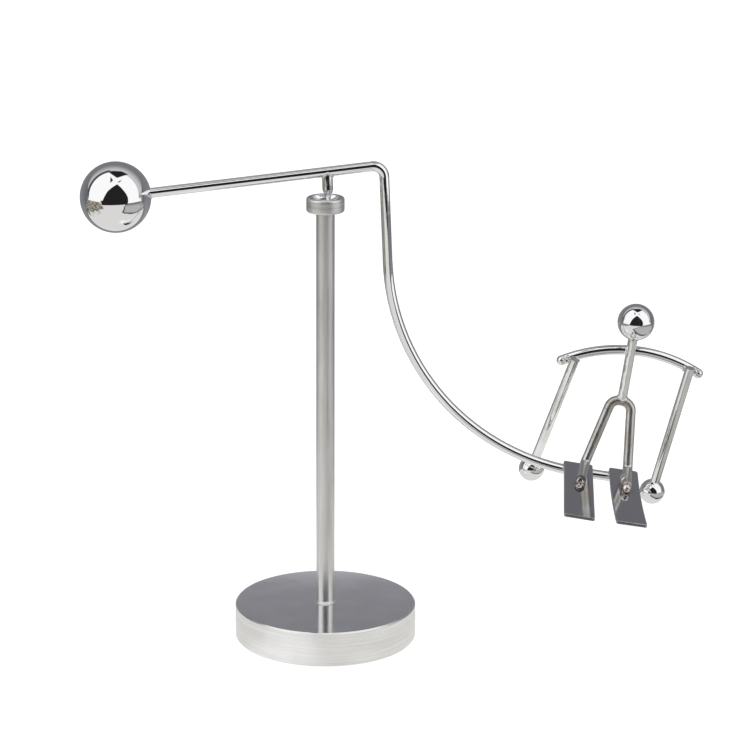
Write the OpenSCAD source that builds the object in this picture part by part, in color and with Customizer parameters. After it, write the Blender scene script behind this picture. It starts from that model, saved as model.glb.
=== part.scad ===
// Counterweight balancing toy: a wire skier poised on a pin in the cup of a post.
// Millimetres. Z is up, X runs along the balance arm, and the skier faces -Y.
// The origin is the centre of the face that rests on the table.

/* [Base] */
// diameter of the base disc
base_d = 50; // [46:0.5:70]
// height of the disc's top above the table
base_h = 10; // [8:0.5:16]
// chamfer on the disc's edges
base_edge = 0.4; // [0.2:0.1:1]
// width of the metal rim around the pad
pad_rim = 3; // [2:0.5:8]
// thickness of the pad
pad_t = 1.2; // [0.8:0.1:2]
// how far the pad stands proud of the disc
pad_proud = 0.3; // [0.1:0.1:0.6]

/* [Post] */
// diameter of the post
post_d = 5; // [4.5:0.1:8]
// height of the post's shoulder above the disc
post_h = 111; // [100:0.5:130]
// flare at the post's foot
post_edge = 0.6; // [0.2:0.1:0.8]
// diameter of the spigot that carries the cup
spigot_d = 3; // [2.4:0.1:3.6]
// height of the spigot
spigot_h = 1.2; // [1:0.1:1.4]
// diameter of the screw that holds the post
screw_d = 3; // [2.5:0.1:3.4]
// depth of the screw in the post
screw_grip = 8; // [5:0.5:14]

/* [Cup] */
// diameter of the cup
cup_d = 10.3; // [9:0.1:14]
// height of the cup
cup_h = 3.95; // [3.7:0.05:6]
// rounding of the cup's edges
cup_edge = 0.6; // [0.1:0.05:0.7]
// width of the cup's rim around the dish
cup_rim = 0.75; // [0.6:0.05:1.5]
// depth of the dish
dish_depth = 1.9; // [0.8:0.05:2.1]
// running clearance around the spigot
cup_gap = 0.06; // [0.02:0.01:0.1]

/* [Pivot pin] */
// diameter of the pin
pin_d = 2.9; // [2.6:0.05:4]
// lean of the pin, away from the skier
pin_lean = 2; // [0:0.5:5]
// half angle of the pin's point
pin_cone = 17; // [14:1:35]
// radius of the rounded tip
tip_r = 0.35; // [0.2:0.05:0.5]
// clearance between tip and dish
tip_gap = 0.1; // [0.05:0.01:0.2]
// distance of the tip from the dish's middle, towards the skier
tip_off = 0.75; // [0:0.05:1]

/* [Balance arm] */
// diameter of the bent wire
wire_d = 2.65; // [2.55:0.05:2.95]
// height of the arm above the tip
arm_lift = 8.4; // [6.5:0.1:10]
// slope of the arm, rising towards the skier
arm_rise = 7; // [3:0.1:9]
// length of the arm from the pin to the bend
arm_out = 14.95; // [13:0.05:20]
// radius of the bend
bend_r = 3; // [2:0.1:5]
// lean of the drop from upright
drop_lean = 2.5; // [0:0.1:5]
// straight length of the drop, between the bends
drop_len = 23.4; // [18:0.1:30]
// radius of the long curve
curl_r = 63; // [50:0.5:70]
// slope of the tail
tail_slope = 8.7; // [5:0.1:14]
// straight length of the tail, after the long curve
tail_len = 14.4; // [12:0.05:20]

/* [Counterweight] */
// diameter of the counterweight ball
weight_d = 19.15; // [18:0.05:21]
// distance of the ball's centre from the pin
weight_reach = 57.3; // [50:0.1:64]
// depth of the arm's end in the ball
weight_socket = 6; // [4:0.5:9]

/* [Skis] */
// length of a ski
ski_l = 34; // [28:0.5:42]
// width at the tail
ski_tail_w = 8; // [7:0.1:9]
// width at the tip
ski_tip_w = 8.3; // [7:0.1:9.4]
// thickness of the plate
ski_t = 0.9; // [0.7:0.05:1.3]
// cut across each corner
ski_clip = 0.5; // [0.2:0.1:1]
// how far the tail reaches behind the wire
ski_tail = 1.5; // [1.3:0.1:4]
// downward tilt of the skis
ski_tilt = 7; // [3:0.5:12]
// sideways turn of the left ski from the wire's slope
left_roll = -0.9; // [-3:0.1:3]
// sideways turn of the right ski from the wire's slope
right_roll = -0.5; // [-3:0.1:3]
// turn of the left ski from straight ahead
left_yaw = -3; // [-8:0.1:4]
// turn of the right ski from straight ahead
right_yaw = -0.6; // [-6:0.1:6]
// distance between the skis along the wire
ski_spacing = 12.7; // [11:0.1:15]
// length of wire past the right ski's middle
wire_past = 2.7; // [1.5:0.1:3.6]

/* [Legs] */
// length of a foot
foot_l = 10.8; // [8:0.1:14]
// distance of an ankle in front of the wire
ankle_y = 1.2; // [0.5:0.1:3]
// bend at the ankle
ankle_r = 2; // [1.5:0.1:2.5]
// height of the hips above the tail
hip_h = 22; // [18:0.1:26]
// distance of the hips left of the tail's end
hip_x = 3.3; // [1:0.1:6]
// distance of the hips behind the wire
hip_y = 2; // [-1:0.1:3]
// width of the hips
hip_w = 5.4; // [5:0.1:6.4]
// sideways slope of the hips
hip_slope = 13.5; // [8:0.5:18]
// bend at the hips
hip_r = 2.7; // [2:0.1:2.8]

/* [Body] */
// diameter of the torso and pole rods
rod_d = 2.55; // [2.15:0.05:2.6]
// diameter of the head
head_d = 10; // [8:0.1:12]
// height of the head's centre above the hips
torso_l = 22.8; // [20:0.1:28]
// sideways lean of the torso
torso_lean = 7.6; // [2:0.1:12]
// forward lean of the torso
torso_bow = 4; // [0:0.1:12]
// depth of a rod in a ball
ball_socket = 2.5; // [1.5:0.1:3]
// radius of the shoulder bar
bar_r = 40; // [36:0.5:60]
// half of the angle that the bar covers, without its domed ends
bar_half = 28.2; // [22:0.1:30]
// sideways tilt of the bar
bar_tilt = 5.7; // [0:0.1:10]
// height of the bar's middle above the hips
bar_h = 13.8; // [12:0.1:17]
// sideways shift of the bar's middle from the torso
bar_shift = 0.7; // [-2:0.1:3]

/* [Poles] */
// length of a pole from bar to ball centre
pole_l = 37.8; // [32:0.1:44]
// height of a pole's top above the bar's centre line
pole_top = 1.1; // [0.5:0.1:1.6]
// distance of the left pole from the bar's end, as an angle on the bar
left_inset = 4.6; // [3:0.1:9]
// distance of the right pole from the bar's end, as an angle on the bar
right_inset = 4.5; // [3:0.1:9]
// diameter of a pole's ball
pole_ball_d = 7; // [6:0.1:9]
// sideways slope of the left pole
left_pole_lean = 16.3; // [10:0.1:22]
// backward slope of the left pole
left_pole_back = 19.5; // [8:0.1:24]
// sideways slope of the right pole
right_pole_lean = 12.8; // [6:0.1:18]
// backward slope of the right pole
right_pole_back = 9.5; // [4:0.1:16]

/* [Welds] */
// depth to which touching wires are melted together
weld_sink = 0.1; // [0.05:0.01:0.2]
// radius of the left foot's weld
left_weld_r = 1.1; // [0.9:0.05:1.4]
// radius of the right foot's weld
right_weld_r = 1.6; // [1.3:0.05:1.9]

/* [Hidden] */
$fn = 96;

cup_lift = 0.1;
screw_clear = 0.3;
bend_swell = 0.04;
bend_lap = 0.2;
cup_z = base_h + post_h + cup_lift;
dish_d = cup_d - 2 * cup_rim;
dish_r = (dish_d * dish_d / 4 + dish_depth * dish_depth) / (2 * dish_depth);
pivot = [tip_off, 0, cup_z + cup_h - dish_depth + tip_gap + tip_r];

// The wire's path, from inside the counterweight to under the right ski
arm_dir = [cos(arm_rise), 0, sin(arm_rise)];
drop_dir = [sin(drop_lean), 0, -cos(drop_lean)];
tail_dir = [cos(tail_slope), 0, -sin(tail_slope)];
arm_mid = pivot + [0, 0, arm_lift];
weight_c = arm_mid - weight_reach * arm_dir;
arm_start = weight_c + (weight_d / 2 - weight_socket) * arm_dir;
arm_corner = arm_mid + arm_out * arm_dir;
bend_run = corner_run(bend_r, arm_dir, drop_dir);
curl_run = corner_run(curl_r, drop_dir, tail_dir);
tail_corner = arm_corner + (bend_run + drop_len + curl_run) * drop_dir;
tail_end = tail_corner + (curl_run + tail_len) * tail_dir;
arm_path = [arm_start, arm_corner, tail_corner, tail_end];
arm_bends = [bend_r, curl_r];

// The skis sit across the wire, by their distance from its end
tail_up = [sin(tail_slope), 0, cos(tail_slope)];
right_from_end = wire_past;
left_from_end = wire_past + ski_spacing;
right_seat = on_wire(right_from_end);
left_seat = on_wire(left_from_end);
left_turn = [ski_tilt, wire_slope(left_from_end) + left_roll, left_yaw];
right_turn = [ski_tilt, wire_slope(right_from_end) + right_roll, right_yaw];
foot_z = wire_d + ski_t - 2 * weld_sink;

// The feet lie on the skis and the legs rise to the hips
left_ankle = on_ski(left_seat, left_turn, [1.5, -ankle_y, foot_z]);
left_toe = on_ski(left_seat, left_turn, [0.4, -ankle_y - foot_l, foot_z]);
right_ankle = on_ski(right_seat, right_turn, [0.7, -ankle_y, foot_z]);
right_toe = on_ski(right_seat, right_turn, [-0.3, -ankle_y - foot_l, foot_z]);
hip = tail_end + [-hip_x, hip_y, hip_h];
hip_half = hip_w / 2 * [cos(hip_slope), 0, -sin(hip_slope)];
leg_path = [left_toe, left_ankle, hip - hip_half, hip + hip_half, right_ankle, right_toe];
leg_bends = [ankle_r, hip_r, hip_r, ankle_r];

// The torso leans from the hips to the head, and the bar crosses its back
torso_step = [tan(torso_lean), -tan(torso_bow), 1];
torso_dir = unit(torso_step);
head = hip + torso_l * torso_step;
back_gap = (rod_d + wire_d) / 2 - weld_sink;
bar_mid = hip + bar_h * torso_step + [bar_shift, back_gap * cos(torso_bow), back_gap * sin(torso_bow)];

// The poles are welded across the front of the bar
left_step = unit([-tan(left_pole_lean), tan(left_pole_back), -1]);
right_step = unit([-tan(right_pole_lean), tan(right_pole_back), -1]);
left_joint = in_front_of_bar(bar_half - left_inset, left_step);
right_joint = in_front_of_bar(right_inset - bar_half, right_step);
left_ball = left_joint + pole_l * left_step;
right_ball = right_joint + pole_l * right_step;
pole_end = pole_l - pole_ball_d / 2 + ball_socket;

function unit(v) = v / norm(v);

// Distance from a bend's end to the corner that it rounds
function corner_run(r, u, v) = r * tan(acos(u * v) / 2);

function turn_x(a, v) = [v[0], v[1] * cos(a) - v[2] * sin(a), v[1] * sin(a) + v[2] * cos(a)];

function turn_y(a, v) = [v[0] * cos(a) + v[2] * sin(a), v[1], v[2] * cos(a) - v[0] * sin(a)];

function turn_z(a, v) = [v[0] * cos(a) - v[1] * sin(a), v[0] * sin(a) + v[1] * cos(a), v[2]];

// A point of a ski's own frame, in the toy's frame
function on_ski(seat, turn, p) = seat + turn_z(turn[2], turn_y(turn[1], turn_x(turn[0], p)));

// A point of the shoulder bar's centre line, by its angle from the bar's middle
function on_bar(a) = bar_mid + bar_r * turn_y(bar_tilt, [-sin(a), 0, cos(a) - 1]);

// Direction of the bar there
function along_bar(a) = turn_y(bar_tilt, [cos(a), 0, sin(a)]);

// Point of a pole's centre line that lies square in front of the bar there
function in_front_of_bar(a, step) = on_bar(a) + back_gap * unit(cross(step, along_bar(a)));

// Angle that the long curve has turned through, at a distance from the wire's end
function curl_turn(s) = max(0, s - tail_len) / curl_r * 180 / PI;

// Slope of the wire there
function wire_slope(s) = tail_slope + curl_turn(s);

// Point of the wire's centre line there
function on_wire(s) =
    tail_end - (min(s, tail_len) + curl_r * sin(curl_turn(s))) * tail_dir
    + curl_r * (1 - cos(curl_turn(s))) * tail_up;

function bend_angle(path, i) = acos(unit(path[i] - path[i - 1]) * unit(path[i + 1] - path[i]));

// Distance from a path's point to the straight wire beside it, which laps a little into the bend
function straight_from(path, bends, i) =
    i == 0 || i == len(path) - 1 ? 0 : bends[i - 1] * tan(bend_angle(path, i) / 2) - bend_lap;

// Stand what is drawn along Z at a point, pointing along a vector
module point_along(p, v) {
    translate(p)
        rotate([0, acos(v[2] / norm(v)), atan2(v[1], v[0])])
            children();
}

// Straight round rod between two points
module rod(p, q, d) {
    point_along(p, q - p)
        cylinder(d = d, h = norm(q - p));
}

// Round bend of radius r where the path turns at b, a hair thicker than the wire
module elbow(a, b, c, r, d) {
    into = unit(b - a);
    out = unit(c - b);
    turn = acos(into * out);
    axis = unit(cross(into, out));
    inward = cross(axis, into);
    start = b - into * r * tan(turn / 2);
    centre = start + r * inward;
    multmatrix([
        [-inward[0], into[0], axis[0], centre[0]],
        [-inward[1], into[1], axis[1], centre[1]],
        [-inward[2], into[2], axis[2], centre[2]],
        [0, 0, 0, 1]
    ])
        rotate_extrude(angle = turn)
            translate([r, 0])
                circle(d = d + bend_swell);
}

// Wire through the points of a path, rounded at each inner point
module bent_wire(path, bends, d) {
    for (i = [0 : len(path) - 2]) {
        h = unit(path[i + 1] - path[i]);
        rod(path[i] + h * straight_from(path, bends, i), path[i + 1] - h * straight_from(path, bends, i + 1), d);
    }
    for (i = [1 : len(path) - 2])
        elbow(path[i - 1], path[i], path[i + 1], bends[i - 1], d);
}

// Plate of a ski, its underside seated on the wire
module ski_plate(seat, turn) {
    tip = ski_tail - ski_l;
    a = ski_tail_w / 2;
    b = ski_tip_w / 2;
    c = ski_clip;
    translate(seat)
        rotate(turn)
            translate([0, 0, wire_d / 2 - weld_sink])
                linear_extrude(ski_t)
                    polygon([
                        [c - a, ski_tail], [a - c, ski_tail], [a, ski_tail - c], [b, tip + c],
                        [b - c, tip], [c - b, tip], [-b, tip + c], [-a, ski_tail - c]
                    ]);
}

// Round drop of weld, at a point of a ski's own frame
module weld_drop(seat, turn, p, r) {
    translate(seat)
        rotate(turn)
            translate(p)
                sphere(r = r);
}

module arm_stock() {
    bent_wire(arm_path, arm_bends, wire_d);
}

module leg_stock() {
    bent_wire(leg_path, leg_bends, wire_d);
}

module torso_stock() {
    rod(hip + 0.4 * torso_dir, head - (head_d / 2 - ball_socket) * torso_dir, rod_d);
}

module bar_stock() {
    for (side = [-1, 1])
        translate(on_bar(side * (bar_half - bend_lap)))
            sphere(d = wire_d + 2 * bend_swell);
    translate(bar_mid)
        rotate([0, bar_tilt, 0])
            translate([0, 0, -bar_r])
                rotate([90, 0, 0])
                    rotate([0, 0, 90 - bar_half])
                        rotate_extrude(angle = 2 * bar_half)
                            translate([bar_r, 0])
                                circle(d = wire_d);
}

module pole_stock(joint, step) {
    rod(joint - pole_top * step, joint + pole_end * step, rod_d);
}

// Ball drilled on the side that faces along a vector, for the rod that ends in it
module drilled_ball(c, d, v, hole_d, depth) {
    point_along(c, v)
        difference() {
            sphere(d = d);
            translate([0, 0, d / 2 - depth])
                cylinder(d = hole_d, h = d);
        }
}

module base_disc() {
    r = base_d / 2;
    e = base_edge;
    color([0.78, 0.78, 0.77])
        difference() {
            rotate_extrude()
                polygon([
                    [0, pad_proud], [r - e, pad_proud], [r, pad_proud + e],
                    [r, base_h - e], [r - e, base_h], [0, base_h]
                ]);
            translate([0, 0, -1])
                cylinder(d = base_d - 2 * pad_rim, h = pad_t + 1);
            cylinder(d = screw_d + screw_clear, h = base_h + 1);
            screw_head();
        }
}

module base_pad() {
    color([0.12, 0.12, 0.13])
        cylinder(d = base_d - 2 * pad_rim, h = pad_t);
}

// Countersunk head, flush with the roof of the pad's recess
module screw_head() {
    translate([0, 0, pad_t])
        cylinder(d1 = 2 * screw_d, d2 = screw_d, h = screw_d / 2);
}

module base_screw() {
    slot_w = screw_d / 5;
    slot_l = 1.2 * screw_d;
    color([0.62, 0.62, 0.62])
        difference() {
            union() {
                screw_head();
                translate([0, 0, pad_t + screw_d / 2])
                    cylinder(d = screw_d, h = base_h + screw_grip - pad_t - screw_d / 2);
            }
            for (a = [0, 90])
                translate([0, 0, pad_t])
                    rotate([0, 0, a])
                        cube([slot_l, slot_w, screw_d / 2], center = true);
        }
}

module post() {
    r = post_d / 2;
    s = spigot_d / 2;
    top = base_h + post_h;
    color([0.7, 0.69, 0.67])
        difference() {
            rotate_extrude()
                polygon([
                    [0, base_h], [r + post_edge, base_h], [r, base_h + post_edge], [r, top],
                    [s, top], [s, top + spigot_h], [0, top + spigot_h]
                ]);
            translate([0, 0, base_h - 1])
                cylinder(d = screw_d, h = screw_grip + 1);
        }
}

module pivot_cup() {
    r = cup_d / 2;
    e = cup_edge;
    color([0.68, 0.68, 0.67])
        difference() {
            translate([0, 0, cup_z])
                rotate_extrude() {
                    square([r - e, cup_h]);
                    translate([0, e])
                        square([r, cup_h - 2 * e]);
                    for (z = [e, cup_h - e])
                        translate([r - e, z])
                            circle(r = e);
                }
            translate([0, 0, cup_z + cup_h - dish_depth + dish_r])
                sphere(r = dish_r);
            translate([0, 0, cup_z - 1])
                cylinder(d = spigot_d + 2 * cup_gap, h = spigot_h + 1.05);
        }
}

module pivot_pin() {
    low = -tip_r * sin(pin_cone);
    small = tip_r * cos(pin_cone);
    cone_h = (pin_d / 2 - small) / tan(pin_cone);
    top = arm_lift * cos(arm_rise + pin_lean) - 0.5;
    color([0.8, 0.8, 0.82])
        difference() {
            translate(pivot)
                rotate([0, -pin_lean, 0]) {
                    sphere(r = tip_r);
                    translate([0, 0, low])
                        cylinder(r1 = small, r2 = pin_d / 2, h = cone_h);
                    translate([0, 0, low + cone_h])
                        cylinder(d = pin_d, h = top - low - cone_h);
                }
            rod(weight_c, arm_corner, wire_d);
        }
}

module balance_arm() {
    color([0.82, 0.82, 0.84])
        arm_stock();
}

module counterweight_ball() {
    color([0.82, 0.82, 0.84])
        drilled_ball(weight_c, weight_d, arm_dir, wire_d, weight_socket);
}

module left_ski() {
    color([0.55, 0.55, 0.58])
        ski_plate(left_seat, left_turn);
}

module right_ski() {
    color([0.55, 0.55, 0.58])
        ski_plate(right_seat, right_turn);
}

module leg_wire() {
    color([0.8, 0.8, 0.82])
        leg_stock();
}

module torso_rod() {
    color([0.8, 0.8, 0.82])
        difference() {
            torso_stock();
            rod(hip - hip_half, hip + hip_half, wire_d);
        }
}

module shoulder_bar() {
    color([0.8, 0.8, 0.82])
        difference() {
            bar_stock();
            torso_stock();
        }
}

module head_ball() {
    color([0.82, 0.82, 0.84])
        drilled_ball(head, head_d, -torso_dir, rod_d, ball_socket);
}

module left_pole() {
    color([0.8, 0.8, 0.82])
        difference() {
            pole_stock(left_joint, left_step);
            bar_stock();
        }
}

module right_pole() {
    color([0.8, 0.8, 0.82])
        difference() {
            pole_stock(right_joint, right_step);
            bar_stock();
        }
}

module left_pole_ball() {
    color([0.82, 0.82, 0.84])
        drilled_ball(left_ball, pole_ball_d, -left_step, rod_d, ball_socket);
}

module right_pole_ball() {
    color([0.82, 0.82, 0.84])
        drilled_ball(right_ball, pole_ball_d, -right_step, rod_d, ball_socket);
}

// Drop of weld in front of the left toe
module left_foot_weld() {
    z = foot_z - wire_d / 2 + 0.3;
    color([0.72, 0.62, 0.52])
        difference() {
            weld_drop(left_seat, left_turn, [0.4, -ankle_y - foot_l - 0.5, z], left_weld_r);
            ski_plate(left_seat, left_turn);
            rod(left_ankle, left_toe, wire_d);
        }
}

// Lump of weld over the right toe
module right_foot_weld() {
    z = foot_z - 0.4;
    color([0.76, 0.66, 0.6])
        difference() {
            weld_drop(right_seat, right_turn, [-0.3, -ankle_y - foot_l - 0.2, z], right_weld_r);
            ski_plate(right_seat, right_turn);
            rod(right_ankle, right_toe, wire_d);
        }
}

base_disc();
base_pad();
base_screw();
post();
pivot_cup();
pivot_pin();
balance_arm();
counterweight_ball();
left_ski();
right_ski();
leg_wire();
torso_rod();
shoulder_bar();
head_ball();
left_pole();
right_pole();
left_pole_ball();
right_pole_ball();
left_foot_weld();
right_foot_weld();
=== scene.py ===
"""Counterweight balancing toy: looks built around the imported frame."""

import math

import bmesh
import bpy
import numpy as np
from mathutils import Matrix, Vector, noise
from mathutils.bvhtree import BVHTree


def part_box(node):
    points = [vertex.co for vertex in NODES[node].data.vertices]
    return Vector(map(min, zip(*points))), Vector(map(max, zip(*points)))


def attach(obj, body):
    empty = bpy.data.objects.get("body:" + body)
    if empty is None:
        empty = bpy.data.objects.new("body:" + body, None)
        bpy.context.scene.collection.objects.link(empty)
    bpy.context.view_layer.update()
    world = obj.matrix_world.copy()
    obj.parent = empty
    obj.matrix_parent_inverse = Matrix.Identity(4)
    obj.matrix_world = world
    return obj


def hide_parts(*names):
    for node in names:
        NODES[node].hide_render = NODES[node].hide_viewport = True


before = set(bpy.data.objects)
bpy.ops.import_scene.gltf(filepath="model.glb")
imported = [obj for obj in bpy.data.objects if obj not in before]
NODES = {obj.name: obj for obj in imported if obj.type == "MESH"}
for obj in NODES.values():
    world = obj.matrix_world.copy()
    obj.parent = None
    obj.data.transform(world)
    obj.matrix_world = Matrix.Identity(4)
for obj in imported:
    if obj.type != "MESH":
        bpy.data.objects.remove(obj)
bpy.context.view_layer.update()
MM = 0.001
scene = bpy.context.scene

# Camera, at the photograph's place
CAM_PLACE = Vector((0, -750, 292.4)) * MM
CAM_PITCH = 16.13
CAM_LENS = 137.66
CAM_SENSOR = 36
CAM_SHIFT = 0.0661
CAM_NEAR = 0.01
CAM_FAR = 100

# Studio: how bright each part of the surroundings is
WHITE_LIGHT = (1, 1, 1)
PANEL_LIGHT = (1.08, 1.08, 1.08)
GAP_LIGHT = (0.018, 0.017, 0.018)
RING_LIGHT = (0.2, 0.2, 0.21)
GLOW_LIGHT = (0.62, 0.62, 0.63)
PALE_LIGHT = (0.77, 0.765, 0.75)
SIDE_LIGHT = (0.48, 0.48, 0.47)
DIM_LIGHT = (0.2, 0.2, 0.2)
EDGE_LIGHT = (0.07, 0.065, 0.06)
BROWN_LIGHT = (0.13, 0.1, 0.07)
OLIVE_LIGHT = (0.32, 0.31, 0.22)
BOARD_LIGHT = (0.235, 0.237, 0.252)
BOARD_LOW_LIGHT = (0.275, 0.277, 0.295)
BOARD_LINE_LIGHT = (0.5, 0.5, 0.52)
BOARD_END_LIGHT = (0.15, 0.15, 0.16)
FLOOR_WHITE = (0.62, 0.62, 0.62)
FLOOR_LIFT = 0.72

# White tent, in the picture that a mirror ball at the toy's place shows: the ball's outline is at 1
CAM_RISE = 13.0
TENT_MIDDLE = -0.02
TENT_EDGE = (0.682, 0.702)
RIM_INSIDE = (0.687, 0.702)
RIM_OUTSIDE = (0.742, 0.767)
RIM_TOP = (-0.19, -0.1)
RIM_FOOT = (-0.02, 0.06)
RIM_STRENGTH = 0.9
GLOW_FADE = (0.73, 0.91)
GLOW_FOOT = (-0.1, 0.2)
TOP_GAP = [(0.06, 0.53), (-0.2, 0.69), (-0.08, 0.725), (0.17, 0.72), (0.36, 0.64), (0.06, 0.53)]
LEFT_SLIT = [(-0.12, 0.39), (-0.12, 0.56), (-0.04, 0.46), (-0.12, 0.39)]
RIGHT_SLIT = [(0.07, 0.41), (0.2, 0.48), (0.15, 0.41), (0.07, 0.41)]

# Upright cards, as (x, z) corners in millimetres: a dark gap at the camera and a grey board behind the toy
GAP_Y = -760 * MM
GAP_OUTLINE = [(-700, 0), (-390, 615), (130, 1195), (500, 630), (600, 485), (690, 265), (690, 0)]
BOARD_Y = 130 * MM
BOARD_OUTLINE = [(-900, 0), (900, 0), (900, 240), (-900, 240)]

# Where the board's tones change, in metres
BOARD_LOW = (0.05, 0.07)
BOARD_TOP = (0.08, 0.2)
LINE_FOOT = (0.042, 0.045)
LINE_TOP = (0.047, 0.053)
LINE_ENDS = (0.03, 0.04)
BOARD_ENDS = (0.1, 0.5)

# Floor zones that the metal shows, in metres, with bearings in degrees from straight towards the camera
FLOOR_SIZE = 6.0
FLOOR_DROP = 0.02 * MM
FLOOR_FRONT = 535 * MM
FLOOR_BACK = 95 * MM
FLOOR_SIDE = 700 * MM
FRONT_BEARINGS = (-45.0, 40.0)
SPOT_PLACE = Vector((-20, -32, 0)) * MM
SPOT_FADE = (0.006, 0.026)
SPOT_STRENGTH = 0.75
CLUTTER_X = (-0.27, -0.21)
CLUTTER_BEARINGS = (-125.0, -46.0)
CLUTTER_END = (0.9, 1.6)
SIDE_NEAR = ((0.057, -0.085), (0.163, 0.053))
SIDE_FRONT = ((0.104, -0.265), (0.006, -0.144))
SIDE_LINE = (0.008, 0.03)
SIDE_DIM = (0.3, 0.5)

# Metals, each as a light and a dark tone of its base colour
CHROME = (0.88, 0.88, 0.89)
LEG_TONES = ((0.7, 0.695, 0.685), (0.54, 0.51, 0.45))
ROD_TONES = ((0.96, 0.96, 0.955), (0.84, 0.83, 0.8))
POLE_TONES = ((0.9, 0.9, 0.895), (0.78, 0.77, 0.74))
POST_TONES = ((0.88, 0.875, 0.86), (0.73, 0.725, 0.71))
BASE_TONES = ((0.95, 0.945, 0.935), (0.82, 0.815, 0.805))
TOP_TONES = ((0.88, 0.88, 0.9), (0.84, 0.84, 0.86))
CUP_TONES = ((0.92, 0.915, 0.905), (0.76, 0.755, 0.74))
DISH_COLOR = (0.93, 0.93, 0.93)
PLATE_COLOR = (0.55, 0.55, 0.58)
HEAT_COLOR = (0.46, 0.38, 0.3)
PLATED_TONES = ((0.88, 0.88, 0.88), (0.6, 0.58, 0.55))
TINTED_TONES = ((0.95, 0.88, 0.84), (0.42, 0.32, 0.25))
FOAM_TONES = ((0.06, 0.06, 0.062), (0.02, 0.02, 0.022))
SCREW_COLOR = (0.55, 0.55, 0.55)
BASE_TOP = (9.93 * MM, 9.98 * MM)
DISH_RIM = (4.3 * MM, 4.45 * MM)
DISH_FLOOR = (123.0 * MM, 123.5 * MM)
HEAT_REACH = (1.6 * MM, 3.2 * MM)
HEAT_STRENGTH = 0.6

# Pieces, in millimetres
SKI_EDGE = 0.28
SKI_STEPS = 24
END_STEPS = 6
FRONT_CORNER = 0.5
FRONT_REACH = 1.0
FRONT_SLOPE = 0.3
SLOPE_REACH = 1.5
OTHER_CORNER = 0.2
CUP_EDGE = 0.6
CUP_LIP = 0.15
CUP_LOOP = 0.05
DISH_R = 4.4
DISH_DEPTH = 1.9
BORE_R = 1.56
BORE_DEPTH = 1.3
AXIS_R = 0.02
TOE_BALL = 1.7
TOE_R = 0.9
TOE_LENGTH = 1.2
TOE_OFF = Vector((0, 0.2, 0.4))
ROD_R = 1.275
WIRE_R = 1.325
PIN_SEAM_R = 1.3
BEAD = 0.34
FINE_BEAD = 0.24
LAP_BEAD = 0.32
PIN_BEAD = 0.42
BAR_BEAD = 0.4
BAR_REACH = 8.5
CREASE_Y = 0.95
CREASE_STEP = 0.3
CREASE_DROP = Vector((0, 0, -0.12))
LAP_LUMPS = ((1.7, -0.4, 0.8), (2.5, 0.1, 0.65), (1.4, 0.6, 0.6), (-1.5, -0.2, 0.45))
LEFT_DROPS = (((-0.55, -0.4, -0.5), 0.36), ((0.5, -0.5, -0.6), 0.42), ((-0.1, -0.8, -0.8), 0.3))
TOE_RING_W = 0.95
TOE_RING_H = 0.85
TOE_RING_Y = 0.5
TOE_RING_RISE = 0.45
TOE_RING_DROP = 0.22
RIGHT_LUMPS = (((-6.4, -5.4, -4.4, -3.6), 1.3), ((-2.8, -2.0, -1.2, -0.4), 0.95), ((0.4, 0.9, 1.4), 1.1))


# Shader graphs

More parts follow.
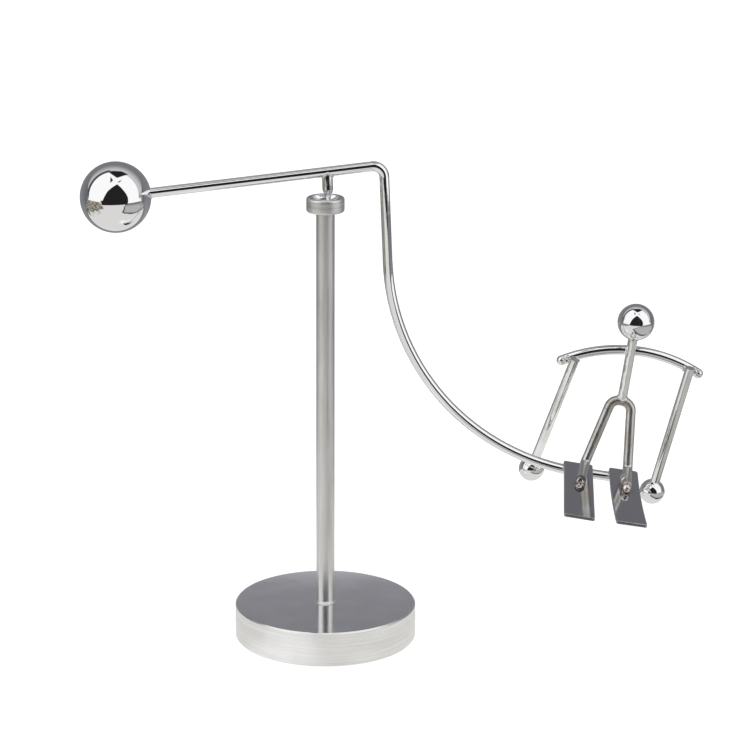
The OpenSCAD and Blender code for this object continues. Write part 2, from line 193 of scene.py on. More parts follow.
class Graph:
    """A node tree with short calls for the nodes used here."""

    def __init__(self, tree):
        self.tree = tree
        tree.nodes.clear()

    def node(self, kind, **settings):
        made = self.tree.nodes.new(kind)
        for name, value in settings.items():
            setattr(made, name, value)
        return made

    def feed(self, socket, value):
        if isinstance(value, bpy.types.NodeSocket):
            self.tree.links.new(value, socket)
        elif value is not None:
            socket.default_value = value

    def fed(self, kind, *values, **settings):
        """The first output of a node that is fed in the order of its inputs."""
        made = self.node(kind, **settings)
        for socket, value in zip(made.inputs, values):
            self.feed(socket, value)
        return made.outputs[0]

    def math(self, operation, a, b=None):
        return self.fed("ShaderNodeMath", a, b, operation=operation)

    def vector(self, operation, a, b=None):
        made = self.node("ShaderNodeVectorMath", operation=operation)
        self.feed(made.inputs[0], a)
        self.feed(made.inputs[1], b)
        return made.outputs["Value" if operation in ("DOT_PRODUCT", "LENGTH") else "Vector"]

    def times(self, *values):
        result = values[0]
        for value in values[1:]:
            result = self.math("MULTIPLY", result, value)
        return result

    def smooth(self, value, low, high, start=0.0, end=1.0):
        made = self.node("ShaderNodeMapRange", interpolation_type="SMOOTHSTEP")
        self.feed(made.inputs["Value"], value)
        self.feed(made.inputs["From Min"], low)
        self.feed(made.inputs["From Max"], high)
        self.feed(made.inputs["To Min"], start)
        self.feed(made.inputs["To Max"], end)
        return made.outputs["Result"]

    def fade(self, value, low, high, start=1.0):
        return self.smooth(value, low, high, start, 0.0)

    def past(self, value, edge, soft):
        return self.smooth(value, edge - soft, edge + soft)

    def within(self, value, low, high, soft):
        return self.times(self.past(value, low, soft), self.fade(value, high - soft, high + soft))

    def mix(self, factor, a, b):
        made = self.node("ShaderNodeMix", data_type="RGBA")
        self.feed(made.inputs["Factor"], factor)
        self.feed(made.inputs["A"], opaque(a))
        self.feed(made.inputs["B"], opaque(b))
        return made.outputs["Result"]

    def pick(self, factor, a, b):
        """A number that goes from a to b."""
        made = self.node("ShaderNodeMix")
        self.feed(made.inputs["Factor"], factor)
        self.feed(made.inputs["A"], a)
        self.feed(made.inputs["B"], b)
        return made.outputs["Result"]

    def parts(self, vector):
        made = self.node("ShaderNodeSeparateXYZ")
        self.feed(made.inputs[0], vector)
        return made.outputs["X"], made.outputs["Y"], made.outputs["Z"]

    def join(self, x, y, z):
        return self.fed("ShaderNodeCombineXYZ", x, y, z)

    def noise(self, vector, scale, detail=3.0, roughness=0.5):
        made = self.node("ShaderNodeTexNoise")
        self.feed(made.inputs["Vector"], vector)
        self.feed(made.inputs["Scale"], scale)
        self.feed(made.inputs["Detail"], detail)
        self.feed(made.inputs["Roughness"], roughness)
        return made.outputs["Fac"]

    def bump(self, height, distance, strength=1.0, under=None):
        made = self.node("ShaderNodeBump")
        self.feed(made.inputs["Height"], height)
        self.feed(made.inputs["Distance"], distance)
        self.feed(made.inputs["Strength"], strength)
        self.feed(made.inputs["Normal"], under)
        return made.outputs["Normal"]

    def place(self):
        return self.node("ShaderNodeTexCoord").outputs["Object"]


def opaque(color):
    return color if isinstance(color, bpy.types.NodeSocket) else (*color, 1)


def new_material(name):
    made = bpy.data.materials.new(name)
    made.use_nodes = True
    return made, Graph(made.node_tree)


def finish_material(g, surface):
    g.feed(g.node("ShaderNodeOutputMaterial").inputs["Surface"], surface)


def metal(g, color, roughness, normal=None, metallic=1.0):
    shader = g.node("ShaderNodeBsdfPrincipled")
    g.feed(shader.inputs["Base Color"], opaque(color))
    g.feed(shader.inputs["Metallic"], metallic)
    g.feed(shader.inputs["Roughness"], roughness)
    g.feed(shader.inputs["Normal"], normal)
    finish_material(g, shader.outputs[0])


# Measuring the frame, in millimetres

def points_of(name):
    mesh = NODES[name].data
    found = np.empty(len(mesh.vertices) * 3)
    mesh.vertices.foreach_get("co", found)
    return found.reshape(-1, 3) / MM


def middle_of(name):
    """Centre of a node's box, which is a ball's own centre."""
    low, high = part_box(name)
    return (Vector(low) + Vector(high)) / 2 / MM


def skin_of(name):
    mesh = NODES[name].data
    corners = [v.co / MM for v in mesh.vertices]
    return BVHTree.FromPolygons(corners, [list(f.vertices) for f in mesh.polygons])


def hit(skin, start, way):
    """Where a ray from start first meets a node's skin, or None."""
    return skin.ray_cast(start, way)[0]


def seam(start, way, radius, host, count=30):
    """Points where the skin of a rod meets its host, found by rays that run along the rod."""
    way = way.normalized()
    side = way.orthogonal().normalized()
    other = way.cross(side)
    skin = skin_of(host)
    turns = [2 * math.pi * k / count for k in range(count)]
    starts = [start + (side * math.cos(a) + other * math.sin(a)) * radius for a in turns]
    return [found for found in (hit(skin, begin, way) for begin in starts) if found]


def contact(name, host, gap=0.05):
    """Points of a node that lie on its host's skin."""
    skin = skin_of(host)
    return [p for p in map(Vector, points_of(name)) if skin.find_nearest(p)[3] < gap]


# Mesh building, in millimetres

def add_piece(name, mesh, material, body, flats=()):
    """Put a mesh on a body. Faces that look along one of the flats stay flat, and the rest are smooth."""
    mesh.transform(Matrix.Scale(MM, 4))
    for face in mesh.polygons:
        face.use_smooth = all(abs(face.normal.dot(way)) < 0.998 for way in flats)
    mesh.materials.clear()
    mesh.materials.append(material)
    piece = bpy.data.objects.new(name, mesh)
    scene.collection.objects.link(piece)
    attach(piece, body)
    return piece


def melted(name, drops, grain=0.09, lumps=0.08, lump_scale=1.7):
    """One lumpy skin around drops of metal that have run together; a drop is a centre and a radius."""
    bm = bmesh.new()
    for centre, radius in drops:
        bmesh.ops.create_icosphere(bm, subdivisions=2, radius=radius, matrix=Matrix.Translation(centre))
    draft = bpy.data.meshes.new(name + "_draft")
    bm.to_mesh(draft)
    bm.free()
    shell = bpy.data.objects.new(name + "_draft", draft)
    scene.collection.objects.link(shell)
    fuse = shell.modifiers.new("fuse", "REMESH")
    fuse.mode = "VOXEL"
    fuse.voxel_size = grain
    soften = shell.modifiers.new("soften", "SMOOTH")
    soften.iterations = 5
    graph = bpy.context.evaluated_depsgraph_get()
    mesh = bpy.data.meshes.new_from_object(shell.evaluated_get(graph))
    bpy.data.objects.remove(shell)
    mesh.name = name
    for vertex in mesh.vertices:
        vertex.co += vertex.normal * lumps * noise.noise(vertex.co * lump_scale)
    return mesh


def bead(points, radius, spread=0.25):
    """Drops along a seam, of uneven size."""
    return [(p, radius * (1 + spread * noise.noise(p * 2.3))) for p in points]


def lofted(name, rings):
    """Closed skin through rings of equally many points."""
    size = len(rings[0])
    verts = [p for ring in rings for p in ring]
    faces = []
    for k in range(len(rings) - 1):
        for i in range(size):
            j = (i + 1) % size
            faces.append((k * size + i, k * size + j, (k + 1) * size + j, (k + 1) * size + i))
    faces.append(tuple(reversed(range(size))))
    faces.append(tuple(range((len(rings) - 1) * size, len(rings) * size)))
    mesh = bpy.data.meshes.new(name)
    mesh.from_pydata(verts, [], faces)
    return mesh


def turned_mesh(name, profile, steps=128):
    """A ring turned round the Z axis from a closed profile of (radius, height) points."""
    turns = [2 * math.pi * k / steps for k in range(steps)]
    verts = [(r * math.cos(a), r * math.sin(a), z) for a in turns for r, z in profile]
    size = len(profile)
    faces = []
    for k in range(steps):
        for i in range(size):
            j = (i + 1) % size
            n = (k + 1) % steps
            faces.append((k * size + j, k * size + i, n * size + i, n * size + j))
    mesh = bpy.data.meshes.new(name)
    mesh.from_pydata(verts, [], faces)
    return mesh


def arc(centre, radius, start, end, steps=6):
    """Points on an arc in the plane of a profile, by angles in degrees."""
    turns = [math.radians(start + (end - start) * k / steps) for k in range(steps + 1)]
    return [(centre[0] + radius * math.cos(a), centre[1] + radius * math.sin(a)) for a in turns]


# Surroundings

def across_line(g, x, y, a, b):
    """Distance from the line from a to b, counted to its right."""
    dx, dy = b[0] - a[0], b[1] - a[1]
    size = math.hypot(dx, dy)
    right = g.math("MULTIPLY", g.math("SUBTRACT", x, a[0]), dy / size)
    return g.math("ADD", right, g.math("MULTIPLY", g.math("SUBTRACT", y, a[1]), -dx / size))


def patch(g, u, v, corners, soft=0.012):
    """1 inside a run of corners, clockwise and bulging outwards."""
    sides = [across_line(g, u, v, a, b) for a, b in zip(corners, corners[1:])]
    return g.times(*[g.past(side, 0.0, soft) for side in sides])


def build_world():
    """A white tent with a grey ring round it, as a mirror ball at the toy's place shows it."""
    world = bpy.data.worlds.new("studio")
    scene.world = world
    world.use_nodes = True
    g = Graph(world.node_tree)
    rise = math.radians(CAM_RISE)
    to_camera = (0, -math.cos(rise), math.sin(rise))
    picture_up = (0, math.sin(rise), math.cos(rise))
    ray = g.node("ShaderNodeTexCoord").outputs["Generated"]
    half_way = g.vector("NORMALIZE", g.vector("ADD", ray, to_camera))
    u = g.parts(half_way)[0]
    v = g.vector("DOT_PRODUCT", half_way, picture_up)

    off = g.math("SUBTRACT", u, TENT_MIDDLE)
    reach = g.math("SQRT", g.math("ADD", g.times(off, off), g.times(v, v)))
    slits = g.math("MAXIMUM", patch(g, u, v, LEFT_SLIT), patch(g, u, v, RIGHT_SLIT))
    gaps = g.math("MAXIMUM", patch(g, u, v, TOP_GAP), slits)
    rim = g.times(g.smooth(reach, *RIM_INSIDE), g.fade(reach, *RIM_OUTSIDE))
    rim = g.times(rim, g.fade(u, *RIM_TOP), g.smooth(v, *RIM_FOOT), RIM_STRENGTH)
    glow = g.times(g.fade(reach, *GLOW_FADE), g.smooth(v, *GLOW_FOOT))
    color = g.mix(glow, RING_LIGHT, GLOW_LIGHT)
    color = g.mix(rim, color, GAP_LIGHT)
    color = g.mix(g.fade(reach, *TENT_EDGE), color, PANEL_LIGHT)
    color = g.mix(gaps, color, GAP_LIGHT)
    seen = g.node("ShaderNodeLightPath").outputs["Is Camera Ray"]
    back = g.fed("ShaderNodeBackground", g.mix(seen, color, WHITE_LIGHT))
    g.feed(g.node("ShaderNodeOutputWorld").inputs["Surface"], back)


def with_clutter(g, color, x, out, bearing):
    """Ragged brown and olive clutter at the table's left."""
    spread = g.join(g.times(bearing, 0.1), g.times(g.math("LOGARITHM", out, math.e), 5.0), 0.0)
    warm = g.mix(g.smooth(g.noise(spread, 0.9), 0.42, 0.58), BROWN_LIGHT, OLIVE_LIGHT)
    warm = g.mix(g.smooth(g.noise(spread, 1.4), 0.53, 0.68), warm, PALE_LIGHT)
    ragged = g.math("SUBTRACT", g.noise(spread, 0.7), 0.5)
    torn_x = g.math("ADD", x, g.times(ragged, 0.25))
    torn_bearing = g.math("ADD", bearing, g.times(ragged, 45.0))
    left = g.times(g.fade(torn_x, *CLUTTER_X), g.within(torn_bearing, *CLUTTER_BEARINGS, 5.0))
    return g.mix(g.times(left, g.fade(out, *CLUTTER_END)), color, warm)


def with_side(g, color, place, x, y, out):
    """Grey zone at the table's right, with a dark line round it."""
    inside = g.math("MINIMUM", across_line(g, x, y, *SIDE_NEAR), across_line(g, x, y, *SIDE_FRONT))
    mottle = g.times(g.math("SUBTRACT", g.noise(place, 9.0), 0.5), 0.05)
    inside = g.math("ADD", inside, mottle)
    side = g.times(g.past(inside, 0.0, 0.006), g.fade(out, FLOOR_SIDE - 0.02, FLOOR_SIDE + 0.02))
    side_color = g.mix(g.smooth(inside, *SIDE_LINE), EDGE_LIGHT, SIDE_LIGHT)
    side_color = g.mix(g.smooth(out, *SIDE_DIM), side_color, DIM_LIGHT)
    return g.mix(side, color, side_color)


def mirrored_floor(g):
    """What the metal shows of the floor: a pale table, and a dark room in front of it."""
    place = g.node("ShaderNodeNewGeometry").outputs["Position"]
    x, y, _ = g.parts(place)
    out = g.vector("LENGTH", place)
    bearing = g.math("DEGREES", g.math("ARCTAN2", x, g.math("MULTIPLY", y, -1.0)))
    beyond = g.past(out, FLOOR_FRONT, 0.01)
    color = g.mix(beyond, PALE_LIGHT, PANEL_LIGHT)
    color = with_clutter(g, color, x, out, bearing)
    beside_base = g.vector("LENGTH", g.vector("SUBTRACT", place, SPOT_PLACE))
    color = g.mix(g.fade(beside_base, *SPOT_FADE, SPOT_STRENGTH), color, PANEL_LIGHT)
    color = with_side(g, color, place, x, y, out)
    color = g.mix(g.times(g.within(bearing, *FRONT_BEARINGS, 2.0), beyond), color, GAP_LIGHT)
    return g.mix(g.past(y, FLOOR_BACK, 0.004), color, RING_LIGHT)


def floor_material():
    """White to the camera, with the toy's shadow, and zones of light to the metal."""
    made, g = new_material("studio_floor")
    mirrored = g.fed("ShaderNodeEmission", mirrored_floor(g))
    matt = g.fed("ShaderNodeBsdfDiffuse", opaque(FLOOR_WHITE))
    lift = g.fed("ShaderNodeEmission", opaque(WHITE_LIGHT), FLOOR_LIFT)
    shown = g.fed("ShaderNodeAddShader", matt, lift)
    path = g.node("ShaderNodeLightPath")
    bounced = g.fed("ShaderNodeMixShader", path.outputs["Is Camera Ray"], matt, shown)
    finish_material(g, g.fed("ShaderNodeMixShader", path.outputs["Is Glossy Ray"], bounced, mirrored))
    return made


def board_material():
    """Grey backdrop that the polished faces show, paler at its foot."""
    made, g = new_material("studio_board")
    x, _, z = g.parts(g.node("ShaderNodeNewGeometry").outputs["Position"])
    away = g.math("ABSOLUTE", x)
    color = g.mix(g.smooth(z, *BOARD_LOW), BOARD_LOW_LIGHT, BOARD_LIGHT)
    color = g.mix(g.smooth(z, *BOARD_TOP), color, RING_LIGHT)
    line = g.times(g.smooth(z, *LINE_FOOT), g.fade(z, *LINE_TOP), g.fade(away, *LINE_ENDS))
    color = g.mix(line, color, BOARD_LINE_LIGHT)
    color = g.mix(g.smooth(away, *BOARD_ENDS), color, BOARD_END_LIGHT)
    finish_material(g, g.fed("ShaderNodeEmission", color))
    return made


def gap_material():
    made, g = new_material("studio_gap")
    finish_material(g, g.fed("ShaderNodeEmission", opaque(GAP_LIGHT)))
    return made


def stage_plane(name, corners, material):
    mesh = bpy.data.meshes.new(name)
    mesh.from_pydata(corners, [], [range(len(corners))])
    plane = bpy.data.objects.new(name, mesh)
    scene.collection.objects.link(plane)
    mesh.materials.append(material)
    return plane


def upright(y, outline):
    return [(x * MM, y, z * MM) for x, z in outline]


def build_stage():
    sides = ((-1, -1), (1, -1), (1, 1), (-1, 1))
    corners = [(x * FLOOR_SIZE, y * FLOOR_SIZE, -FLOOR_DROP) for x, y in sides]
    stage_plane("floor", corners, floor_material())
    board = stage_plane("backdrop", upright(BOARD_Y, BOARD_OUTLINE), board_material())
    gap = stage_plane("camera_gap", upright(GAP_Y, GAP_OUTLINE), gap_material())
    for card in (board, gap):
        card.visible_camera = False
        card.visible_shadow = False
        card.visible_diffuse = False


def build_camera():
    data = bpy.data.cameras.new("camera")
    data.lens = CAM_LENS
    data.sensor_width = CAM_SENSOR
    data.sensor_fit = "HORIZONTAL"
    data.shift_x = CAM_SHIFT
    data.clip_start = CAM_NEAR
    data.clip_end = CAM_FAR
    camera = bpy.data.objects.new("camera", data)
    camera.location = CAM_PLACE
    camera.rotation_euler = (math.radians(90 - CAM_PITCH), 0, 0)
    scene.collection.objects.link(camera)
    scene.camera = camera


# Materials

def chrome_material(name, roughness):
    """Bright plating over drawn wire: faint ripple and a few dull patches."""
    made, g = new_material(name)
    place = g.place()
    ripple = g.bump(g.noise(place, 900.0, 2.0), 0.02 * MM, 0.12)
    dull = g.smooth(g.noise(place, 350.0, 4.0), 0.52, 0.75, roughness, roughness + 0.07)
    metal(g, CHROME, dull, ripple)
    return made


def dull_wire_material(name, tones, roughness, dents):
    """Thinly plated wire with drawn streaks, brownish patches and shallow dents."""
    made, g = new_material(name)
    place = g.place()
    x, y, z = g.parts(place)
    streaks = g.noise(g.join(x, y, g.times(z, 0.06)), 1500.0, 2.0)
    cloudy = g.noise(place, 160.0)
    color = g.mix(g.smooth(cloudy, 0.4, 0.68), *tones)
    rough = g.smooth(g.math("ADD", streaks, cloudy), 0.75, 1.3, roughness - 0.05, roughness + 0.08)
    uneven = g.bump(g.noise(place, 240.0, 2.0), dents)
    metal(g, color, rough, g.bump(streaks, 0.04 * MM, 0.3, uneven))
    return made


def satin_material(name, tones, roughness):
    """Drawn rod: fine streaks along its length."""
    made, g = new_material(name)
    light, dark = tones
    x, y, z = g.parts(g.place())
    streaks = g.noise(g.join(x, y, g.times(z, 0.015)), 3000.0, 2.0)
    cloudy = g.noise(g.join(x, y, g.times(z, 0.3)), 150.0, 2.0)
    color = g.mix(g.smooth(g.math("ADD", streaks, cloudy), 0.75, 1.25), dark, light)
    rough = g.smooth(cloudy, 0.35, 0.65, roughness - 0.04, roughness + 0.05)
    metal(g, color, rough, g.bump(streaks, 0.02 * MM, 0.2))
    return made


def turned(g, place, fine):
    """Lathe lines round the Z axis, as a height, then the distance from that axis and along it."""
    x, y, z = g.parts(place)
    round_about = g.math("SQRT", g.math("ADD", g.times(x, x), g.times(y, y)))
    return g.noise(g.join(g.times(x, 0.02), g.times(y, 0.02), z), fine), round_about, z


def base_material():
    """Turned side and a polished top with faint rings."""
    made, g = new_material("turned_base")
    place = g.place()
    lines, round_about, z = turned(g, place, 1900.0)
    cloudy = g.noise(place, 110.0)
    top = g.smooth(z, *BASE_TOP)
    rings = g.noise(g.join(round_about, 0.0, 0.0), 3500.0, 2.0)
    bright_line = g.smooth(g.math("ADD", lines, g.times(cloudy, 0.5)), 0.6, 0.95)
    brushed = g.mix(bright_line, *reversed(BASE_TONES))
    polished = g.mix(g.smooth(cloudy, 0.4, 0.7), *reversed(TOP_TONES))
    rough = g.pick(top, g.smooth(lines, 0.3, 0.7, 0.26, 0.4), g.smooth(cloudy, 0.35, 0.7, 0.07, 0.12))
    height = g.pick(top, lines, 0.5)
    normal = g.bump(height, 0.04 * MM, 0.3, g.bump(rings, 0.004 * MM, 0.1))
    metal(g, g.mix(top, brushed, polished), rough, normal)
    return made


def cup_material():
    """Turned outside with a few lathe lines, and a bright dish."""
    made, g = new_material("turned_cup")
    lines, round_about, z = turned(g, g.place(), 2300.0)
    dish = g.times(g.fade(round_about, *DISH_RIM), g.smooth(z, *DISH_FLOOR))
    color = g.mix(g.smooth(lines, 0.35, 0.65), *reversed(CUP_TONES))
    rough = g.pick(dish, g.smooth(lines, 0.3, 0.7, 0.34, 0.46), 0.16)
    height = g.pick(dish, lines, 0.5)
    metal(g, g.mix(dish, color, DISH_COLOR), rough, g.bump(height, 0.05 * MM, 0.35))
    return made


def plate_material():
    """Sheared and polished plate, a little hazy, with dull front ends and a heat tint round the feet."""
    made, g = new_material("polished_plate")
    place = g.place()
    haze = g.smooth(g.noise(place, 260.0, 4.0), 0.35, 0.7, 0.045, 0.09)
    facing = g.parts(g.node("ShaderNodeTexCoord").outputs["Normal"])[1]
    haze = g.pick(g.fade(facing, -0.85, -0.75), haze, 0.3)
    heat = 0.0
    for weld in ("left_foot_weld", "right_foot_weld"):
        away = g.vector("LENGTH", g.vector("SUBTRACT", place, middle_of(weld) * MM))
        heat = g.math("MAXIMUM", heat, g.fade(away, *HEAT_REACH, HEAT_STRENGTH))
    color = g.mix(heat, PLATE_COLOR, HEAT_COLOR)
    metal(g, color, haze, g.bump(g.noise(place, 500.0, 2.0), 0.02 * MM, 0.15))
    return made


def weld_material(name, tones):
    """Plated weld: lumpy, with a heat tint in its hollows."""
    made, g = new_material(name)
    lumps = g.noise(g.place(), 1400.0, 4.0, 0.6)
    color = g.mix(g.smooth(lumps, 0.34, 0.5), *reversed(tones))
    metal(g, color, g.smooth(lumps, 0.3, 0.7, 0.36, 0.18), g.bump(lumps, 0.08 * MM, 0.4))
    return made


def pad_material():
    made, g = new_material("foam_pad")
    grain = g.noise(g.place(), 3000.0, 4.0)
    color = g.mix(grain, *reversed(FOAM_TONES))
    metal(g, color, 0.85, g.bump(grain, 0.1 * MM, 0.6), metallic=0.0)
    return made


def screw_material():
    made, g = new_material("screw_steel")
    grain = g.noise(g.place(), 1500.0)
    metal(g, SCREW_COLOR, g.smooth(grain, 0.3, 0.7, 0.25, 0.4), g.bump(grain, 0.03 * MM, 0.3))
    return made


def dress(material, *nodes):
    for name in nodes:
        slots = NODES[name].data.materials
        slots.clear()
        slots.append(material)


def dress_nodes():
    balls = ("counterweight_ball", "head_ball", "left_pole_ball", "right_pole_ball")
    dress(chrome_material("chrome_wire", 0.035), "balance_arm", "shoulder_bar", "pivot_pin")
    dress(dull_wire_material("dull_leg", LEG_TONES, 0.33, 0.06 * MM), "leg_wire")
    dress(dull_wire_material("dull_rod", ROD_TONES, 0.09, 0.16 * MM), "torso_rod", "left_pole")
    dress(dull_wire_material("bright_rod", POLE_TONES, 0.09, 0.05 * MM), "right_pole")
    dress(chrome_material("chrome_ball", 0.02), *balls)
    dress(base_material(), "base_disc")
    dress(satin_material("satin_post", POST_TONES, 0.4), "post")
    dress(pad_material(), "base_pad")
    dress(screw_material(), "base_screw")


# Pieces

def ski_axes(points):
    """A plate's middle and its directions across, ahead and up."""
    middle = points.mean(axis=0)
    rows = np.linalg.svd(points - middle, full_matrices=False)[2]
    ahead = Vector(rows[0] if rows[0][1] < 0 else -rows[0])
    up = Vector(rows[2] if rows[2][2] > 0 else -rows[2])
    return middle, ahead.cross(up), ahead, up


def ski_stations(length, corner):
    """Where a plate's rings stand along it, closer together at its ends and corners."""
    ends = [SKI_EDGE * (1 - math.cos(math.radians(a))) for a in (0, 30, 60, 90)]
    rear = [corner * k / END_STEPS for k in range(1, END_STEPS + 1)]
    between = [length * k / SKI_STEPS for k in range(2, SKI_STEPS - 1)]
    front = [length - FRONT_REACH * (END_STEPS - k) / END_STEPS for k in range(END_STEPS)]
    return sorted(set(ends + rear + between + front + [length - d for d in reversed(ends)]))


def ski_ring(half_w, half_t, edge):
    """Cross-section of a plate with rounded edges, as (across, up) pairs."""
    ring = []
    for sx, sz, start in ((1, 1, 0), (-1, 1, 90), (-1, -1, 180), (1, -1, 270)):
        middle = (sx * (half_w - edge), sz * (half_t - edge))
        ring += arc(middle, edge, start, start + 90, 4)
    return ring


def cut_back(radius, inset):
    """How far a rounded corner is cut back, at a distance from its end."""
    return radius - math.sqrt(radius ** 2 - max(0.0, radius - inset) ** 2)


def add_ski(node, material, sweep, corner):
    """The CAD plate with softened edges, a sloped front, a rounded rear corner and a slight sweep."""
    points = points_of(node)
    middle, across, ahead, up = ski_axes(points)
    local = (points - middle) @ np.array([across, ahead, up]).T
    low, high = local.min(axis=0), local.max(axis=0)
    centre = Vector(middle)
    half_t = (high[2] - low[2]) / 2
    near_tail = np.abs(local[local[:, 1] < low[1] + 1][:, 0]).max()
    near_tip = np.abs(local[local[:, 1] > high[1] - 1][:, 0]).max()
    length = high[1] - low[1]
    rings = []
    for s in ski_stations(length, corner):
        half_w = near_tail + (near_tip - near_tail) * s / length
        shrink = cut_back(SKI_EDGE, min(s, length - s))
        trim_rear = cut_back(corner, s)
        trim_front = cut_back(FRONT_CORNER, length - s)
        bow = sweep * (1 - (2 * s / length - 1) ** 2)
        lean = FRONT_SLOPE * max(0.0, 1 - (length - s) / SLOPE_REACH) ** 2
        ring = []
        for x, z in ski_ring(half_w - shrink, half_t - shrink, max(SKI_EDGE - shrink, 0.02)):
            trim = trim_front + (trim_rear if x < 0 else OTHER_CORNER * trim_rear)
            x -= math.copysign(trim, x) * min(1.0, abs(x) / half_w)
            place = ahead * (low[1] + s - lean * (z + half_t)) + up * (z + (low[2] + high[2]) / 2)
            ring.append(centre + across * (x + bow) + place)
        rings.append(ring)
    front = (ahead + up * FRONT_SLOPE).normalized()
    flats = (across, ahead, up, front)
    piece = add_piece(node + "_plate", lofted(node, rings), material, "rocker", flats)
    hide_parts(node)


def add_cup(material):
    """The cup with a softened lip and a dish whose wall steepens towards it."""
    low, high = (Vector(c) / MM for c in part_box("pivot_cup"))
    outer = high.x
    bowl = [DISH_R * k / 20 for k in range(21)]
    profile = [(max(r, AXIS_R), high.z - DISH_DEPTH * (1 - (r / DISH_R) ** 4)) for r in bowl]
    profile += arc((DISH_R + CUP_LIP, high.z - CUP_LIP), CUP_LIP, 150, 90, 4)
    profile += arc((outer - CUP_EDGE, high.z - CUP_EDGE), CUP_EDGE, 90, 0)
    profile += [(outer, high.z - CUP_EDGE - CUP_LOOP), (outer, low.z + CUP_EDGE + CUP_LOOP)]
    profile += arc((outer - CUP_EDGE, low.z + CUP_EDGE), CUP_EDGE, 0, -90)
    profile += [(BORE_R, low.z), (BORE_R, low.z + BORE_DEPTH), (AXIS_R, low.z + BORE_DEPTH)]
    mesh = turned_mesh("cup_turned", profile)
    piece = add_piece("cup_turned", mesh, material, "cup", (Vector((0, 0, 1)),))
    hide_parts("pivot_cup")


def add_weld(name, drops, material):
    return add_piece(name, melted(name, drops), material, "rocker")


def under_ski(ski, clear=1.0):
    """Drops in the creases between the wire and the underside of a ski."""
    low, high = (Vector(c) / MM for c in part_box(ski))
    skin = skin_of(ski)
    found = []
    for y in (-CREASE_Y, CREASE_Y):
        for step in range(int((high.x - low.x - 2 * clear) / CREASE_STEP)):
            below = Vector((low.x + clear + CREASE_STEP * step, y, low.z - 30))
            found.append(hit(skin, below, Vector((0, 0, 1))))
    return bead([p + CREASE_DROP for p in found if p], BEAD)


def lap_drops(pole):
    """Drops round a pole that lies across the front of the shoulder bar, most of them on its outer side."""
    touching = contact(pole, "shoulder_bar")
    middle = sum(touching, Vector()) / len(touching)
    outward = middle - middle_of("shoulder_bar")
    outward.y = 0
    outward.normalize()
    drops = bead(touching, LAP_BEAD, 0.5)
    for along_bar, up, radius in LAP_LUMPS:
        drops.append((middle + outward * along_bar + Vector((0, -0.2, up)), radius))
    return drops


def bar_crease(torso, up):
    """Points in the creases over and under the shoulder bar, behind the torso."""
    bar = skin_of("shoulder_bar")
    crease = []
    for x in (-0.7, 0.0, 0.7):
        for way in (-1, 1):
            start = torso + up * BAR_REACH * -way + Vector((x, 1.5, 0))
            crease.append(hit(bar, start, up * way))
    return [p for p in crease if p]


def add_welds(plated, tinted):
    torso = Vector(points_of("torso_rod").mean(axis=0))
    up = (middle_of("head_ball") - torso).normalized()
    weight = middle_of("counterweight_ball")
    pin_low, pin_high = (Vector(c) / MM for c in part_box("pivot_pin"))
    pin = (pin_low + pin_high) / 2
    add_weld("head_weld", bead(seam(torso, up, ROD_R, "head_ball"), BEAD), plated)
    add_weld("hip_weld", bead(seam(torso, -up, ROD_R, "leg_wire"), BEAD), plated)
    pin_seam = seam(pin, Vector((0, 0, 1)), PIN_SEAM_R, "balance_arm")
    add_weld("pin_weld", bead(pin_seam, PIN_BEAD), plated)
    add_weld("bar_weld", bead(bar_crease(torso, up), BAR_BEAD), plated)
    for side in ("left", "right"):
        ball = middle_of(side + "_pole_ball")
        pole = Vector(points_of(side + "_pole").mean(axis=0))
        way = (pole - ball).normalized()
        add_weld(side + "_pole_weld", lap_drops(side + "_pole"), plated)
        ball_seam = seam(pole, -way, ROD_R, side + "_pole_ball")
        add_weld(side + "_ball_weld", bead(ball_seam, FINE_BEAD), plated)
        add_weld(side + "_ski_weld", under_ski(side + "_ski"), tinted)
    arm = weight.lerp(Vector((pin.x, 0, pin_high.z)), 0.6)
    weight_seam = seam(arm, weight - arm, WIRE_R, "counterweight_ball")
    add_weld("weight_weld", bead(weight_seam, FINE_BEAD), plated)


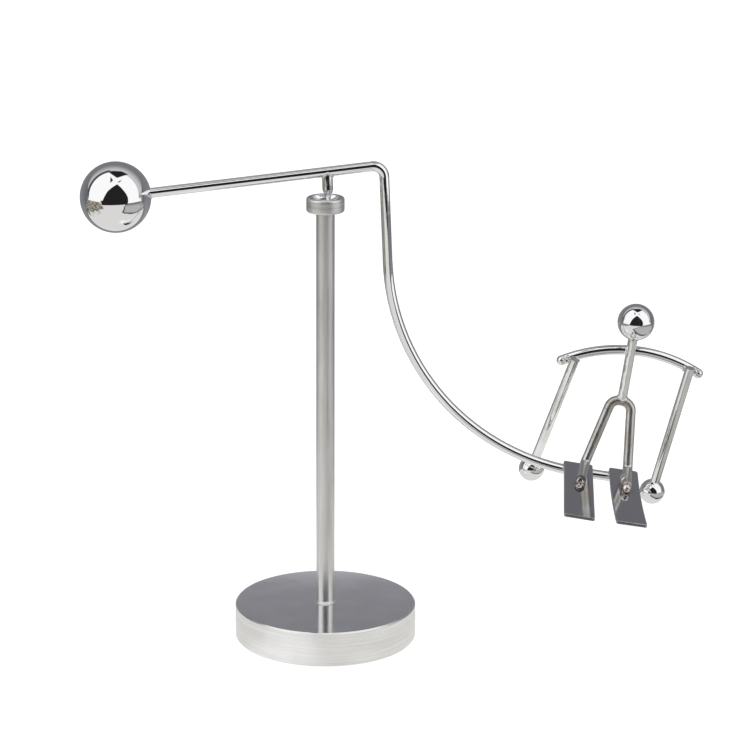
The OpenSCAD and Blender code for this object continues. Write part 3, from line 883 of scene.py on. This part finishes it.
def add_left_foot(material):
    """A ring of drops round the left toe, and three larger ones in front of it."""
    left = middle_of("left_foot_weld")
    drops = []
    for k in range(12):
        a = math.radians(30 * k)
        off = Vector((TOE_RING_W * math.cos(a), TOE_RING_Y, TOE_RING_RISE + TOE_RING_H * math.sin(a)))
        drops.append((left + off, TOE_RING_DROP))
    drops += [(left + Vector(off), radius) for off, radius in LEFT_DROPS]
    piece = add_weld("left_foot_drops", drops, material)
    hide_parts("left_foot_weld")


def add_right_foot(material):
    """The lumpy bead that the right foot is buried in."""
    right = middle_of("right_foot_weld")
    ahead = Vector((0, -1, -0.1))
    lumps = []
    for steps, radius in RIGHT_LUMPS:
        for step in steps:
            p = right + ahead * step
            off = Vector((noise.noise(p * 0.9), 0, 0.25 * noise.noise(p * 1.6)))
            size = radius * (1 + 0.3 * noise.noise(p * 2.1))
            lumps.append((p + off * 0.8 + Vector((0, 0, 0.1)), size))
    piece = add_weld("right_foot_bead", lumps, material)
    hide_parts("right_foot_weld")


def add_toe(material):
    """The rounded end of the left foot's wire, which shows the dark gap in its middle."""
    half = math.degrees(math.asin(TOE_R / TOE_BALL))
    profile = arc((0.0, -TOE_BALL), TOE_BALL, 89.4, 90 - half, 10)
    profile += [(TOE_R, profile[-1][1] - 0.1), (TOE_R, -TOE_LENGTH), (AXIS_R, -TOE_LENGTH)]
    mesh = turned_mesh("left_toe_end", list(reversed(profile)), 48)
    facing = Vector((0, -1, 0.2)).to_track_quat("Z", "Y").to_matrix().to_4x4()
    mesh.transform(Matrix.Translation(middle_of("left_foot_weld") + TOE_OFF) @ facing)
    add_piece("left_toe_end", mesh, material, "rocker")


def add_pieces():
    add_cup(cup_material())
    plate = plate_material()
    add_ski("left_ski", plate, 0.0, 0.6)
    add_ski("right_ski", plate, 0.4, 1.1)
    tinted = weld_material("weld_tinted", TINTED_TONES)
    add_welds(weld_material("weld_plated", PLATED_TONES), tinted)
    add_left_foot(tinted)
    add_right_foot(tinted)
    add_toe(bpy.data.materials["chrome_wire"])


build_camera()
build_world()
build_stage()
dress_nodes()
add_pieces()
scene.view_settings.view_transform = "Standard"
